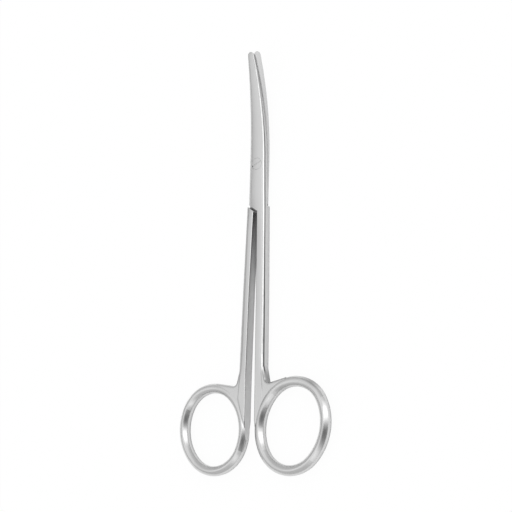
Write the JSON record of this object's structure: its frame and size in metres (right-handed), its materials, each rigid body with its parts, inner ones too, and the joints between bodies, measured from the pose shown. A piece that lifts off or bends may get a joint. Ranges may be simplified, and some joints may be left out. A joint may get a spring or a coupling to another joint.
{
  "type": "dissecting scissors",
  "caption": "Curved dissecting scissors with slim blades, long shanks and oval finger rings, turning on one flush slotted screw.",
  "frame": {"origin": "on the pivot's axis, at the flat back of the joint, which rests on the table", "axes": "+Y along the scissors towards the tips, +Z out of the front face, which is also where the tips curve to, +X towards the larger ring"},
  "size_m": [0.0595, 0.1458, 0.008],
  "materials": {
    "forged_steel": "satin, bead blasted, with polished edges",
    "screw_steel": "satin, ground flush with the joint"
  },
  "bodies": {
    "back": {"back_half": "forged_steel", "pivot_screw": "screw_steel"},
    "front": {"front_half": "forged_steel"}
  },
  "joints": [
    {"name": "pivot", "type": "hinge", "parent": "back", "child": "front", "pos_m": [0, 0, 0.00195], "axis": [0, 0, 1], "range_deg": [0, 70]}
  ]
}
